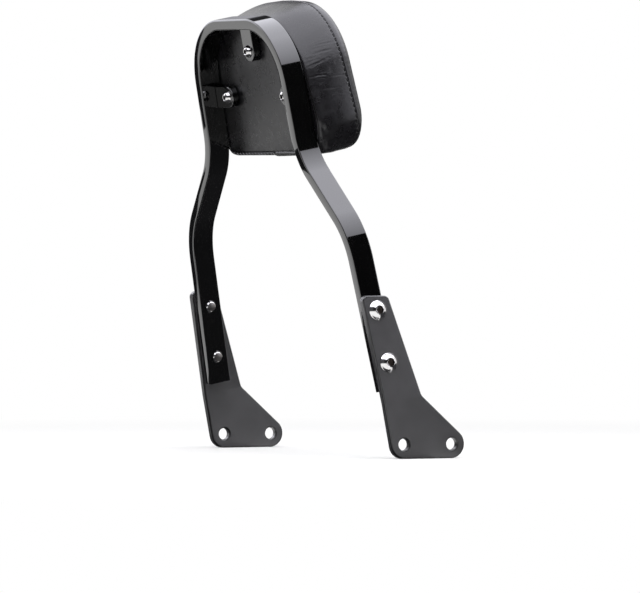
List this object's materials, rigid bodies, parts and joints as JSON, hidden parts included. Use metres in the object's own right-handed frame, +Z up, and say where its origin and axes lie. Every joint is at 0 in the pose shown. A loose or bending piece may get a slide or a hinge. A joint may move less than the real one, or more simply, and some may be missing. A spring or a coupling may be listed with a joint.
{
  "type": "sissy bar",
  "caption": "Leaning flat-bar hoop with a padded backrest on welded tabs, and bent side plates that bolt to a motorcycle's fender struts.",
  "frame": {"origin": "midway between the two feet, on the common axis of their rear strut holes", "axes": "+X to the right of the motorcycle, +Y forwards, towards the rider's side of the pad, +Z up with the hoop leaning back as it is fitted"},
  "size_m": [0.3442, 0.139, 0.3946],
  "materials": {
    "gloss_black_paint": "gloss black powder coat",
    "satin_black_paint": "satin black powder coat",
    "chrome_screws": "polished chrome plate",
    "plywood": "plain plywood",
    "zinc_steel": "zinc plate",
    "foam": "open-cell foam",
    "black_vinyl": "fine-grained black upholstery vinyl"
  },
  "bodies": {
    "root": {"upright_hoop": "gloss_black_paint", "top_pad_tab": "gloss_black_paint", "left_pad_tab": "gloss_black_paint", "right_pad_tab": "gloss_black_paint", "left_side_plate": "satin_black_paint", "right_side_plate": "satin_black_paint", "left_upper_side_screw": "chrome_screws", "left_lower_side_screw": "chrome_screws", "right_upper_side_screw": "chrome_screws", "right_lower_side_screw": "chrome_screws", "top_pad_screw": "chrome_screws", "left_pad_screw": "chrome_screws", "right_pad_screw": "chrome_screws", "pad_board": "plywood", "top_tee_nut": "zinc_steel", "left_tee_nut": "zinc_steel", "right_tee_nut": "zinc_steel", "pad_foam": "foam", "pad_back_panel": "black_vinyl", "pad_side_band": "black_vinyl", "pad_front_panel": "black_vinyl"}
  },
  "joints": []
}
